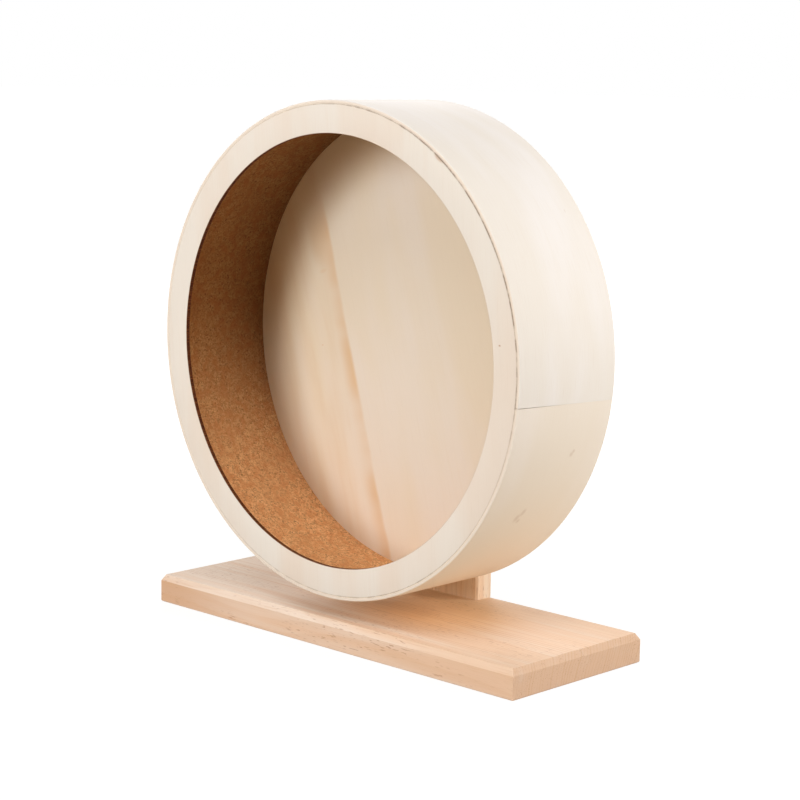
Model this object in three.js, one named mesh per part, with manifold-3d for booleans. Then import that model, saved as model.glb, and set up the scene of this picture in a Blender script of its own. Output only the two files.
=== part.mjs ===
// A free-standing exercise wheel for small rodents: a bent plywood drum with a cork running
// surface, turning on an axle bolt in two ball bearings that sit in an upright board.
//
// Millimetres, +Z up. The origin is the centre of the base board's underside, the axle runs
// along Y, and the drum's open front faces -Y.

import * as THREE from "three";
import { mergeVertices } from "three/addons/utils/BufferGeometryUtils.js";
import Module from "manifold-3d";

const wasm = await Module();
wasm.setup();

// ---------------------------------------------------------------- driving dimensions

// Drum
const WHEEL_DIAMETER = 330;
const DRUM_WIDTH = 93;
const SHELL_WALL = 2.4;
const SHELL_EDGE_BEVEL = 0.5;
const RING_WIDTH = 18.8; // from the ring's outside to its opening
const RING_THICKNESS = 3;
const CORK_THICKNESS = 2.6;
const DISC_THICKNESS = 5;
const RING_JOINT = 0.3; // open joint round the front ring, seen as a fine line
const GLUE_JOINT = 0.05; // play round the other pieces that are glued into the shell
const SEAM_GAP = 0.4; // butt joint between the two ends of a bent sheet
const SHELL_SEAM_DEG = -6.5; // where the shell's ends meet, from +X towards +Z
const CORK_SEAM_DEG = 24; // the liner's ends meet away from the shell's

// Hub and axle: M8 coach bolt, thin nut, lock nut
const HUB_DIAMETER = 80;
const HUB_THICKNESS = 10;
const HUB_EDGE_BEVEL = 1;
const BOLT_DIAMETER = 8;
const BOLT_HEAD_DIAMETER = 20;
const BOLT_HEAD_HEIGHT = 4.5;
const BOLT_NECK_LENGTH = 4; // square neck that keeps the bolt from turning in the hub
const BOLT_PAST_NUT = 2;
const BOLT_END_BEVEL = 0.8;
const HEAD_ROOM = 0.3; // play between the head and the back disc, and round the head
const NUT_ACROSS_FLATS = 13;
const HUB_NUT_HEIGHT = 4;
const LOCK_NUT_HEX_HEIGHT = 6;
const LOCK_NUT_COLLAR_HEIGHT = 2;
const LOCK_NUT_COLLAR_DIAMETER = 11.6;
const LOCK_NUT_COLLAR_BEVEL = 0.7;
const NUT_BEVEL_DEG = 30;
const FRONT_SPACER_LENGTH = 2.5;
const REAR_SPACER_LENGTH = 1;
const SLIP_PLAY = 0.05; // radial play of what slides on the bolt or is pressed into the board

// Ball bearings, 8 x 22 x 7
const BEARING_DIAMETER = 22;
const BEARING_WIDTH = 7;
const BEARING_EDGE_BEVEL = 0.3;
const INNER_RING_DIAMETER = 12.1;
const OUTER_RING_SHOULDER = 17.9;
const BALL_DIAMETER = 3.97;
const BALL_COUNT = 7;
const GROOVE_PLAY = 0.165; // between a ball and the bottom of its groove
const CAGE_WALL = 1.2;
const CAGE_WIDTH = 2.4;
const SHIELD_THICKNESS = 0.4;
const SHIELD_INSET = 0.45; // how far a shield lies behind the bearing's face
const SHIELD_GAP = 0.35; // running gap between a shield and the inner ring
const SHIELD_SEAT = 0.75; // how far the shield's seat is let into the outer ring
const BEARING_WEB = 2; // board left between the two bearings

// Stand
const BASE_LENGTH = 336;
const BASE_THICKNESS = 20;
const BASE_BEVEL_HEIGHT = 4.4; // of the bevel round the top
const BASE_BEVEL_INSET = 2.6; // how far that bevel reaches in from the sides
const BASE_UNDER_BEVEL = 0.8;
const WHEEL_SETBACK = 2.5; // the base board's front edge lies this far in front of the drum
const WHEEL_CLEARANCE = 14; // between the drum and the base board
const UPRIGHT_WIDTH = 75;
const UPRIGHT_ABOVE_AXLE = 40;
const UPRIGHT_BEVEL = 1.5;
const WEB_BORE = 15; // hole through the web between the bearings, clear of the inner rings

// Screws and dowels that hold the upright
const SCREW_DIAMETER = 4.5;
const SCREW_HEAD_DIAMETER = 8.8;
const SCREW_HEAD_HEIGHT = 2.6;
const SCREW_LENGTH = 45;
const SCREW_TIP = 5;
const SCREW_SUNK = 0.3; // the heads lie this far inside the base board
const SCREW_FROM_SIDE = 12.5; // from the upright's side to a screw's axis
const SCREW_CLEARANCE = 0.25; // round the shank in the base board
const DOWEL_DIAMETER = 8;
const DOWEL_LENGTH = 30;
const DOWEL_IN_BASE = 12;
const DOWEL_BEVEL = 0.8;
const DOWEL_FROM_SCREW = 13; // from a screw's axis to the dowel beside it
const DRILL_EXTRA = 0.5; // how much deeper a blind hole is than what it holds

// Cutting forms run this far past the faces that they cut
const OVERCUT = 1;

// Facets
const DRUM_SEGMENTS = 120;
const HUB_SEGMENTS = 64;
const SMALL_SEGMENTS = 28;
const BALL_SEGMENTS = 8;
const GROOVE_SEGMENTS = 4;
const DOME_SEGMENTS = 5;

// ---------------------------------------------------------------- derived places

const wheelRadius = WHEEL_DIAMETER / 2;
const shellInnerRadius = wheelRadius - SHELL_WALL;
const ringOuterRadius = shellInnerRadius - RING_JOINT;
const ringInnerRadius = ringOuterRadius - RING_WIDTH;
const corkOuterRadius = shellInnerRadius - GLUE_JOINT;
const discFront = DRUM_WIDTH - DISC_THICKNESS;

const boltRadius = BOLT_DIAMETER / 2;
const boreRadius = boltRadius + SLIP_PLAY;
const hubBack = DRUM_WIDTH + HUB_THICKNESS;
const headSeat = DRUM_WIDTH + HEAD_ROOM + BOLT_HEAD_HEIGHT;
const hubNutBack = hubBack + HUB_NUT_HEIGHT;
const uprightFront = hubNutBack + FRONT_SPACER_LENGTH;
const uprightThickness = 2 * BEARING_WIDTH + BEARING_WEB;
const uprightBack = uprightFront + uprightThickness;
const rearBearingFront = uprightBack - BEARING_WIDTH;
const lockNutFront = uprightBack + REAR_SPACER_LENGTH;
const lockNutHeight = LOCK_NUT_HEX_HEIGHT + LOCK_NUT_COLLAR_HEIGHT;
const boltEnd = lockNutFront + lockNutHeight + BOLT_PAST_NUT;

const baseDepth = WHEEL_SETBACK + uprightBack;
const axleHeight = BASE_THICKNESS + WHEEL_CLEARANCE + wheelRadius;
const drumFront = WHEEL_SETBACK - baseDepth / 2;
const uprightTop = axleHeight + UPRIGHT_ABOVE_AXLE;

const screwX = UPRIGHT_WIDTH / 2 - SCREW_FROM_SIDE;
const dowelX = screwX - DOWEL_FROM_SCREW;

// ---------------------------------------------------------------- materials

const material = (color, roughness, metalness = 0) =>
  new THREE.MeshStandardMaterial({ color, roughness, metalness });

const solidWood = () => material(0xe3bd95, 0.62);
const birchPly = () => material(0xe8d8c3, 0.55);
const cork = () => material(0xb7824f, 0.9);
const beech = () => material(0xd2a679, 0.7);
const zincSteel = () => material(0xb8babd, 0.35, 1);
const bearingSteel = () => material(0xa6a9ad, 0.22, 1);

// ---------------------------------------------------------------- solids

// A closed three.js geometry as a solid that can be joined and cut.
function solid(geometry) {
  geometry.deleteAttribute("normal");
  geometry.deleteAttribute("uv");
  const merged = mergeVertices(geometry, 1e-4);
  const corners = merged.index.array;
  const triangles = [];
  for (let i = 0; i < corners.length; i += 3) {
    const [a, b, c] = [corners[i], corners[i + 1], corners[i + 2]];
    if (a !== b && b !== c && c !== a) triangles.push(a, b, c);
  }
  return new wasm.Manifold(
    new wasm.Mesh({
      numProp: 3,
      vertProperties: new Float32Array(merged.attributes.position.array),
      triVerts: new Uint32Array(triangles),
    }),
  );
}

// A solid back as three.js geometry.
function geometryOf(body) {
  const mesh = body.getMesh();
  const positions = new Float32Array(mesh.vertProperties);
  const geometry = new THREE.BufferGeometry();
  geometry.setAttribute("position", new THREE.BufferAttribute(positions, 3));
  geometry.setIndex(new THREE.BufferAttribute(new Uint32Array(mesh.triVerts), 1));
  geometry.computeVertexNormals();
  return geometry;
}

// A turned solid about the Y axis. The profile is [radius, y] pairs, counter-clockwise with the
// radius to the right, starting and ending on the axis, or else closed here on itself.
function turned(profile, segments) {
  const points = profile.map(([r, y]) => new THREE.Vector2(r, y));
  const onAxis = profile[0][0] === 0 && profile[profile.length - 1][0] === 0;
  if (!onAxis) points.push(points[0].clone());
  return solid(new THREE.LatheGeometry(points, segments));
}

// A plain ring or tube about the Y axis.
function tube(inner, outer, y0, y1, segments) {
  return turned([[outer, y0], [outer, y1], [inner, y1], [inner, y0]], segments);
}

// A plain round bar about the Y axis.
function bar(radius, y0, y1, segments) {
  return turned([[0, y0], [radius, y0], [radius, y1], [0, y1]], segments);
}

// A box given by its two corners.
function block(low, high) {
  const size = high.map((v, i) => v - low[i]);
  const geometry = new THREE.BoxGeometry(...size);
  geometry.translate(...low.map((v, i) => v + size[i] / 2));
  return solid(geometry);
}

// A board through rectangles of four corners each, given in the same turning sense.
function loft(sections) {
  const positions = sections.flat(2);
  const triangles = [];
  for (let s = 0; s + 1 < sections.length; s++)
    for (let i = 0; i < 4; i++) {
      const a = 4 * s + i;
      const b = 4 * s + ((i + 1) % 4);
      triangles.push(a, b, b + 4, a, b + 4, a + 4);
    }
  const last = 4 * (sections.length - 1);
  triangles.push(0, 2, 1, 0, 3, 2, last, last + 1, last + 2, last, last + 2, last + 3);
  const geometry = new THREE.BufferGeometry();
  geometry.setAttribute("position", new THREE.Float32BufferAttribute(positions, 3));
  geometry.setIndex(triangles);
  return solid(geometry);
}

// A turned piece stood up from the Y axis to the vertical line at x and y.
function stood(body, x, y) {
  const geometry = geometryOf(body);
  geometry.rotateX(Math.PI / 2);
  geometry.translate(x, y, 0);
  return solid(geometry);
}

// A thin slit from the axis outwards at an angle from +X towards +Z, through the whole drum.
function slit(angleDeg) {
  const reach = wheelRadius + OVERCUT;
  const geometry = new THREE.BoxGeometry(reach, DRUM_WIDTH + 2 * OVERCUT, SEAM_GAP);
  geometry.translate(reach / 2, DRUM_WIDTH / 2, 0);
  geometry.rotateY(-THREE.MathUtils.degToRad(angleDeg));
  return solid(geometry);
}

function add(group, name, body, look) {
  const mesh = new THREE.Mesh(geometryOf(body), look);
  mesh.name = name;
  group.add(mesh);
}

// ---------------------------------------------------------------- drum
// Here and in the next two sections the axle is the Y axis, and y = 0 is the drum's front.

function drumShell() {
  const e = SHELL_EDGE_BEVEL;
  const profile = [
    [wheelRadius - e, 0],
    [wheelRadius, e],
    [wheelRadius, DRUM_WIDTH - e],
    [wheelRadius - e, DRUM_WIDTH],
    [shellInnerRadius, DRUM_WIDTH],
    [shellInnerRadius, 0],
  ];
  return turned(profile, DRUM_SEGMENTS).subtract(slit(SHELL_SEAM_DEG));
}

function frontRing() {
  return tube(ringInnerRadius, ringOuterRadius, 0, RING_THICKNESS, DRUM_SEGMENTS);
}

function corkLiner() {
  const inner = corkOuterRadius - CORK_THICKNESS;
  const sleeve = tube(inner, corkOuterRadius, RING_THICKNESS, discFront, DRUM_SEGMENTS);
  return sleeve.subtract(slit(CORK_SEAM_DEG));
}

function backDisc() {
  return bar(shellInnerRadius - GLUE_JOINT, discFront, DRUM_WIDTH, DRUM_SEGMENTS);
}

// ---------------------------------------------------------------- hub and axle

// Plywood round glued behind the back disc, with the pocket, square hole and bore for the bolt.
function hubBlock() {
  const radius = HUB_DIAMETER / 2;
  const e = HUB_EDGE_BEVEL;
  const round = turned(
    [[0, DRUM_WIDTH], [radius, DRUM_WIDTH], [radius, hubBack - e], [radius - e, hubBack], [0, hubBack]],
    HUB_SEGMENTS,
  );
  const pocketRadius = BOLT_HEAD_DIAMETER / 2 + HEAD_ROOM;
  const pocket = bar(pocketRadius, DRUM_WIDTH - OVERCUT, headSeat, SMALL_SEGMENTS);
  const bore = bar(boreRadius, headSeat - OVERCUT, hubBack + OVERCUT, SMALL_SEGMENTS);
  return round.subtract(pocket).subtract(bore).subtract(squareNeck(SLIP_PLAY));
}

// The bolt's square neck, or the hole for it with some play all round.
function squareNeck(play) {
  const half = boltRadius + play;
  return block([-half, headSeat - play, -half], [half, headSeat + BOLT_NECK_LENGTH + play, half]);
}

// Coach bolt: a low domed head, a square neck and a round shank.
function axleBolt() {
  const rise = BOLT_HEAD_HEIGHT;
  const half = BOLT_HEAD_DIAMETER / 2;
  const sphere = (half * half + rise * rise) / (2 * rise);
  const opening = Math.asin(half / sphere);
  const profile = [];
  for (let i = 0; i <= DOME_SEGMENTS; i++) {
    const angle = (opening * i) / DOME_SEGMENTS;
    profile.push([sphere * Math.sin(angle), headSeat - rise + sphere * (1 - Math.cos(angle))]);
  }
  profile.push(
    [boltRadius, headSeat],
    [boltRadius, boltEnd - BOLT_END_BEVEL],
    [boltRadius - BOLT_END_BEVEL, boltEnd],
    [0, boltEnd],
  );
  return turned(profile, SMALL_SEGMENTS).add(squareNeck(0));
}

// A hexagon prism whose corners are turned off at both faces, with the bore through it.
function hexagon(y0, y1) {
  const corner = NUT_ACROSS_FLATS / Math.sqrt(3);
  const flat = NUT_ACROSS_FLATS / 2;
  const drop = (corner - flat) * Math.tan(THREE.MathUtils.degToRad(NUT_BEVEL_DEG));
  const prism = new THREE.CylinderGeometry(corner, corner, y1 - y0, 6);
  prism.translate(0, (y0 + y1) / 2, 0);
  const envelope = turned(
    [[0, y0], [flat, y0], [corner, y0 + drop], [corner, y1 - drop], [flat, y1], [0, y1]],
    SMALL_SEGMENTS,
  );
  return solid(prism).intersect(envelope);
}

function hubNut() {
  const bore = bar(boreRadius, hubBack - OVERCUT, hubNutBack + OVERCUT, SMALL_SEGMENTS);
  return hexagon(hubBack, hubNutBack).subtract(bore);
}

// Lock nut: a hexagon with the round collar that holds its nylon ring.
function lockNut() {
  const hexBack = lockNutFront + LOCK_NUT_HEX_HEIGHT;
  const back = lockNutFront + lockNutHeight;
  const radius = LOCK_NUT_COLLAR_DIAMETER / 2;
  const root = hexBack - OVERCUT;
  const e = LOCK_NUT_COLLAR_BEVEL;
  const collar = turned(
    [[0, root], [radius, root], [radius, back - e], [radius - e, back], [0, back]],
    SMALL_SEGMENTS,
  );
  const bore = bar(boreRadius, lockNutFront - OVERCUT, back + OVERCUT, SMALL_SEGMENTS);
  return hexagon(lockNutFront, hexBack).add(collar).subtract(bore);
}

// Spacers touch only the bearings' inner rings, so they have the inner ring's outside.
function spacer(y0, length) {
  return tube(boreRadius, INNER_RING_DIAMETER / 2, y0, y0 + length, SMALL_SEGMENTS);
}

// ---------------------------------------------------------------- ball bearings

const pitchRadius = (BEARING_DIAMETER + BOLT_DIAMETER) / 4;
const ballRadius = BALL_DIAMETER / 2;
const grooveRadius = ballRadius + GROOVE_PLAY;
const shieldBack = SHIELD_INSET + SHIELD_THICKNESS;
const outerShoulder = OUTER_RING_SHOULDER / 2;
const innerShoulder = INNER_RING_DIAMETER / 2;
const shieldSeatRadius = outerShoulder + SHIELD_SEAT;

// The arc of a ball groove between two points of a shoulder, from y = -w to y = +w about mid.
function groove(shoulder, mid) {
  const side = Math.sign(shoulder - pitchRadius);
  const reach = Math.acos(Math.abs(shoulder - pitchRadius) / grooveRadius);
  const points = [];
  for (let i = 0; i <= GROOVE_SEGMENTS; i++) {
    const angle = reach * ((2 * i) / GROOVE_SEGMENTS - 1);
    points.push([pitchRadius + side * grooveRadius * Math.cos(angle), mid + grooveRadius * Math.sin(angle)]);
  }
  return points;
}

function outerRing(front) {
  const back = front + BEARING_WIDTH;
  const radius = BEARING_DIAMETER / 2;
  const e = BEARING_EDGE_BEVEL;
  return turned(
    [
      [radius - e, front],
      [radius, front + e],
      [radius, back - e],
      [radius - e, back],
      [shieldSeatRadius, back],
      [shieldSeatRadius, back - shieldBack],
      [outerShoulder, back - shieldBack],
      ...groove(outerShoulder, front + BEARING_WIDTH / 2).reverse(),
      [outerShoulder, front + shieldBack],
      [shieldSeatRadius, front + shieldBack],
      [shieldSeatRadius, front],
    ],
    SMALL_SEGMENTS,
  );
}

function innerRing(front) {
  const back = front + BEARING_WIDTH;
  return turned(
    [
      [innerShoulder, front],
      ...groove(innerShoulder, front + BEARING_WIDTH / 2),
      [innerShoulder, back],
      [boreRadius, back],
      [boreRadius, front],
    ],
    SMALL_SEGMENTS,
  );
}

// The balls in their cage: a band through the balls' middles that keeps them apart.
function ballCage(front) {
  const mid = front + BEARING_WIDTH / 2;
  const half = CAGE_WALL / 2;
  const front0 = mid - CAGE_WIDTH / 2;
  let cage = tube(pitchRadius - half, pitchRadius + half, front0, front0 + CAGE_WIDTH, SMALL_SEGMENTS);
  for (let i = 0; i < BALL_COUNT; i++) {
    const angle = (2 * Math.PI * i) / BALL_COUNT;
    const ball = new THREE.SphereGeometry(ballRadius, BALL_SEGMENTS, BALL_SEGMENTS / 2 + 1);
    ball.translate(pitchRadius * Math.cos(angle), mid, pitchRadius * Math.sin(angle));
    cage = cage.add(solid(ball));
  }
  return cage;
}

function shield(y0) {
  const hole = innerShoulder + SHIELD_GAP;
  const rim = shieldSeatRadius - SLIP_PLAY;
  return tube(hole, rim, y0, y0 + SHIELD_THICKNESS, SMALL_SEGMENTS);
}

// ---------------------------------------------------------------- stand

// A screw or its hole, standing on z = 0: play widens it, and extra drills it deeper.
function screwForm(play, extra) {
  const radius = SCREW_DIAMETER / 2 + play;
  const head = SCREW_HEAD_DIAMETER / 2 + play;
  const neck = SCREW_SUNK + SCREW_HEAD_HEIGHT;
  const end = SCREW_SUNK + SCREW_LENGTH + extra;
  return [[0, SCREW_SUNK], [head, SCREW_SUNK], [radius, neck], [radius, end - SCREW_TIP], [0, end]];
}

function screw(x, y) {
  return stood(turned(screwForm(0, 0), SMALL_SEGMENTS), x, y);
}

// The screw's path: a wider hole and a countersink in the base board, a tight one in the upright.
function screwHoleInBase(x, y) {
  const profile = screwForm(SCREW_CLEARANCE, 0);
  const mouth = profile[1][0];
  const shank = profile[2][0];
  const through = BASE_THICKNESS + OVERCUT;
  const hole = [[0, -OVERCUT], [mouth, -OVERCUT], profile[1], profile[2], [shank, through], [0, through]];
  return stood(turned(hole, SMALL_SEGMENTS), x, y);
}

function screwHoleInUpright(x, y) {
  return stood(turned(screwForm(SLIP_PLAY, DRILL_EXTRA), SMALL_SEGMENTS), x, y);
}

function dowel(x, y) {
  const bottom = BASE_THICKNESS - DOWEL_IN_BASE;
  const top = bottom + DOWEL_LENGTH;
  const radius = DOWEL_DIAMETER / 2;
  const end = radius - DOWEL_BEVEL;
  const profile = [
    [0, bottom],
    [end, bottom],
    [radius, bottom + DOWEL_BEVEL],
    [radius, top - DOWEL_BEVEL],
    [end, top],
    [0, top],
  ];
  return stood(turned(profile, SMALL_SEGMENTS), x, y);
}

function dowelHole(x, y) {
  const bottom = BASE_THICKNESS - DOWEL_IN_BASE - DRILL_EXTRA;
  const top = bottom + DOWEL_LENGTH + 2 * DRILL_EXTRA;
  return stood(bar(DOWEL_DIAMETER / 2 + SLIP_PLAY, bottom, top, SMALL_SEGMENTS), x, y);
}

const uprightMidY = baseDepth / 2 - uprightThickness / 2;

// Solid board with a wide bevel round its top and a small one round its underside.
function baseBoard() {
  const rectangle = (inset, z) => {
    const x = BASE_LENGTH / 2 - inset;
    const y = baseDepth / 2 - inset;
    return [[-x, -y, z], [x, -y, z], [x, y, z], [-x, y, z]];
  };
  let board = loft([
    rectangle(BASE_UNDER_BEVEL, 0),
    rectangle(0, BASE_UNDER_BEVEL),
    rectangle(0, BASE_THICKNESS - BASE_BEVEL_HEIGHT),
    rectangle(BASE_BEVEL_INSET, BASE_THICKNESS),
  ]);
  for (const side of [-1, 1]) {
    board = board.subtract(screwHoleInBase(side * screwX, uprightMidY));
    board = board.subtract(dowelHole(side * dowelX, uprightMidY));
  }
  return board;
}

// Solid board on end, bevelled round its front and back, with the stepped bore for the bearings.
function uprightBoard() {
  const front = baseDepth / 2 - uprightThickness;
  const back = baseDepth / 2;
  const rectangle = (inset, y) => {
    const x = UPRIGHT_WIDTH / 2 - inset;
    const top = uprightTop - inset;
    return [[-x, y, BASE_THICKNESS], [-x, y, top], [x, y, top], [x, y, BASE_THICKNESS]];
  };
  let board = loft([
    rectangle(UPRIGHT_BEVEL, front),
    rectangle(0, front + UPRIGHT_BEVEL),
    rectangle(0, back - UPRIGHT_BEVEL),
    rectangle(UPRIGHT_BEVEL, back),
  ]);
  for (const side of [-1, 1]) {
    board = board.subtract(screwHoleInUpright(side * screwX, uprightMidY));
    board = board.subtract(dowelHole(side * dowelX, uprightMidY));
  }
  const seat = BEARING_DIAMETER / 2 + SLIP_PLAY;
  const web = WEB_BORE / 2;
  const bore = turned(
    [
      [0, front - OVERCUT],
      [seat, front - OVERCUT],
      [seat, front + BEARING_WIDTH],
      [web, front + BEARING_WIDTH],
      [web, back - BEARING_WIDTH],
      [seat, back - BEARING_WIDTH],
      [seat, back + OVERCUT],
      [0, back + OVERCUT],
    ],
    SMALL_SEGMENTS,
  );
  return board.subtract(bore.translate([0, 0, axleHeight]));
}

// ---------------------------------------------------------------- assembly

const stand = new THREE.Group();
add(stand, "base_board", baseBoard(), solidWood());
add(stand, "upright_board", uprightBoard(), solidWood());
for (const [side, word] of [[-1, "left"], [1, "right"]]) {
  add(stand, `upright_screw_${word}`, screw(side * screwX, uprightMidY), zincSteel());
  add(stand, `upright_dowel_${word}`, dowel(side * dowelX, uprightMidY), beech());
}

// Everything about the axle stands in one frame, whose origin is the centre of the drum's front.
const aboutAxle = new THREE.Group();
aboutAxle.position.set(0, drumFront, axleHeight);
add(aboutAxle, "drum_shell", drumShell(), birchPly());
add(aboutAxle, "front_ring", frontRing(), birchPly());
add(aboutAxle, "cork_liner", corkLiner(), cork());
add(aboutAxle, "back_disc", backDisc(), birchPly());
add(aboutAxle, "hub_block", hubBlock(), birchPly());
add(aboutAxle, "axle_bolt", axleBolt(), zincSteel());
add(aboutAxle, "hub_nut", hubNut(), zincSteel());
add(aboutAxle, "front_spacer", spacer(hubNutBack, FRONT_SPACER_LENGTH), zincSteel());
add(aboutAxle, "inner_ring_spacer", spacer(uprightFront + BEARING_WIDTH, BEARING_WEB), zincSteel());
add(aboutAxle, "rear_spacer", spacer(uprightBack, REAR_SPACER_LENGTH), zincSteel());
add(aboutAxle, "lock_nut", lockNut(), zincSteel());

for (const [word, front] of [["front", uprightFront], ["rear", rearBearingFront]]) {
  const back = front + BEARING_WIDTH;
  add(aboutAxle, `${word}_bearing_outer_ring`, outerRing(front), bearingSteel());
  add(aboutAxle, `${word}_bearing_inner_ring`, innerRing(front), bearingSteel());
  add(aboutAxle, `${word}_bearing_ball_cage`, ballCage(front), bearingSteel());
  add(aboutAxle, `${word}_bearing_front_shield`, shield(front + SHIELD_INSET), zincSteel());
  add(aboutAxle, `${word}_bearing_rear_shield`, shield(back - shieldBack), zincSteel());
}

const exerciseWheel = new THREE.Group();
exerciseWheel.add(stand, aboutAxle);

export default exerciseWheel;
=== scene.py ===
# %% [markdown]
# # A wooden exercise wheel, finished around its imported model
#
# The object is a running wheel for small rodents: a short drum of bent plywood, open at the
# front through a flat ring and closed at the back by a disc, with cork glued inside as the
# running surface. A bolt behind the disc turns in two ball bearings, which sit in one upright
# board on a bevelled base board.
#
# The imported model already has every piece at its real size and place. It is loaded first, as a
# fixed frame that nothing here moves. What this lesson adds is what an eye sees from a step
# away: eased edges, grain that follows each board, cork granules, a burnt cut, bright zinc.

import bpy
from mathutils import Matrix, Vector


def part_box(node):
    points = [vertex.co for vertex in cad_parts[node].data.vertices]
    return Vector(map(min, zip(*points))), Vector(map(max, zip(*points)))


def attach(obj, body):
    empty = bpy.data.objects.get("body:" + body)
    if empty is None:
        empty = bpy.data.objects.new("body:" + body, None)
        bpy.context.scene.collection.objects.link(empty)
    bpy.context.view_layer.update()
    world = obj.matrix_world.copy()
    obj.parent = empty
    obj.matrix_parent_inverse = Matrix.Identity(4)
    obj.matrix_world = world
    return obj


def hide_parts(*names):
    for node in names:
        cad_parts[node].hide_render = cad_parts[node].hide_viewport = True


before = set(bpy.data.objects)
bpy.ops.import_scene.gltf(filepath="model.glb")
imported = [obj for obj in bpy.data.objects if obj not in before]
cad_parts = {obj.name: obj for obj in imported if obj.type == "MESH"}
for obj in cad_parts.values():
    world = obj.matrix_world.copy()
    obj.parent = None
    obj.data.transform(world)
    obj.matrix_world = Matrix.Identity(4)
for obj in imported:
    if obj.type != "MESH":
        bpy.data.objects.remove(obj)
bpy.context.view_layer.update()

# %% [markdown]
# ## Units and places
#
# Blender counts in metres and a workshop in millimetres, so sizes are written in millimetres
# and turned into metres in one place, where a mesh is made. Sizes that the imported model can
# tell, such as how far a piece reaches, are read from it, so that both can't drift apart.

# %% Units and the axle
import math

import bmesh
import bpy
from mathutils import Quaternion, Vector, noise

MM = 0.001


def add(name, data):
    """Puts a new object into the scene."""
    thing = bpy.data.objects.new(name, data)
    bpy.context.scene.collection.objects.link(thing)
    return thing


def circle(degrees, radius=1.0):
    turn = math.radians(degrees)
    return radius * math.cos(turn), radius * math.sin(turn)


def turned_size(node):
    """Outer radius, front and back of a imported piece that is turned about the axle, in mm."""
    low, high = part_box(node)
    return (high.x - low.x) / 2 / MM, low.y / MM, high.y / MM


low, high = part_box("drum_shell")
AXLE_Z = (low.z + high.z) / 2 / MM
WHEEL_RADIUS, DRUM_FRONT, DRUM_BACK = turned_size("drum_shell")
print(f"axle {AXLE_Z:.1f} mm above the table")
print(f"drum: radius {WHEEL_RADIUS:.1f}, from y {DRUM_FRONT:.1f} to {DRUM_BACK:.1f} mm")

# %% [markdown]
# ## The camera
#
# A product photograph is taken with a long lens from some way off, which keeps circles close to
# true ellipses. The place, the aim and the focal length are those at which the drum's circles
# and the base board's corners fall where the photograph has them. The small roll is the tilt of
# the camera's stand.

# %% Camera
CAMERA_PLACE = Vector((994.14, -1036.01, 389.72)) * MM
CAMERA_AIM = Vector((33.6, -28.5, 168.5)) * MM
CAMERA_ROLL_DEG = 0.99
CAMERA_LENS = 96.14  # on a sensor 36 mm wide

camera = add("camera", bpy.data.cameras.new("camera"))
bpy.context.scene.camera = camera
camera.data.sensor_width = 36
camera.data.lens = CAMERA_LENS
camera.data.clip_end = 100  # metres, past the far edge of the floor
camera.location = CAMERA_PLACE
camera.rotation_mode = "QUATERNION"
aim = (CAMERA_AIM - CAMERA_PLACE).to_track_quat("-Z", "Y")
camera.rotation_quaternion = aim @ Quaternion((0, 0, 1), math.radians(CAMERA_ROLL_DEG))
print(f"camera {(CAMERA_AIM - CAMERA_PLACE).length:.2f} m from what it looks at")

# %% [markdown]
# ## Short calls for finishes
#
# A finish is a small graph of nodes. Laid out by hand it takes many lines, so these calls add a
# node and join it in one go. `begin` starts the graph of one material, and every call after it
# adds to that one, until `end` closes it. `put` adds any node, `maths` does a sum, `ramp` turns
# a value into a smooth rise from 0 to 1, and `blend` mixes two colours.

# %% Node calls
at_work = {}  # holds the material or world whose graph is being built


def begin(owner):
    owner.use_nodes = True
    owner.node_tree.nodes.clear()
    at_work["on"] = owner


def new_finish(name):
    begin(bpy.data.materials.new(name))


def put(kind, sockets, out=0, **settings):
    """Adds a shader node. A value in sockets is another node's output, or a constant."""
    tree = at_work["on"].node_tree
    node = tree.nodes.new("ShaderNode" + kind)
    for name, value in settings.items():
        setattr(node, name, value)
    for name, value in sockets.items():
        if isinstance(value, bpy.types.NodeSocket):
            tree.links.new(value, node.inputs[name])
        else:
            node.inputs[name].default_value = value
    return node.outputs[out] if node.outputs else None


def end(shader, kind="Material"):
    """Joins the graph's last shader to its output and returns the material or world."""
    put("Output" + kind, {"Surface": shader})
    return at_work["on"]


def maths(operation, a, b=0.0):
    return put("Math", {0: a, 1: b}, operation=operation)


def times(a, b):
    return maths("MULTIPLY", a, b)


def plus(a, b):
    return maths("ADD", a, b)


def minus(a, b):
    return maths("SUBTRACT", a, b)


def vectors(operation, a, b):
    return put("VectorMath", {0: a, 1: b}, operation=operation)


def length(vector):
    return put("VectorMath", {0: vector}, out=1, operation="LENGTH")


def ramp(value, low, high, to_low=0.0, to_high=1.0):
    ends = {"From Min": low, "From Max": high, "To Min": to_low, "To Max": to_high}
    return put("MapRange", {"Value": value, **ends}, interpolation_type="SMOOTHSTEP")


def blend(share, a, b, way="MIX"):
    sockets = {0: share, 6: a, 7: b}
    return put("Mix", sockets, out=2, data_type="RGBA", blend_type=way, clamp_factor=True)


def specks(vector, scale, detail):
    """Cloudy noise from 0 to 1."""
    return put("TexNoise", {"Vector": vector, "Scale": scale, "Detail": detail})


def grained(vector, per_mm, detail):
    """Cloudy noise that is stretched by three factors: the smaller, the longer."""
    return specks(vectors("MULTIPLY", vector, per_mm), 1.0, detail)


def bring(x, y, z):
    return put("CombineXYZ", {0: x, 1: y, 2: z})


def apart(vector):
    return put("SeparateXYZ", {0: vector}).node.outputs[:3]


def colour(red, green, blue):
    """A colour as a paint chart gives it, 0 to 255, as Blender's linear colour."""
    linear = []
    for value in (red, green, blue):
        v = value / 255
        linear.append(v / 12.92 if v <= 0.04045 else ((v + 0.055) / 1.055) ** 2.4)
    return (*linear, 1.0)


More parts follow.
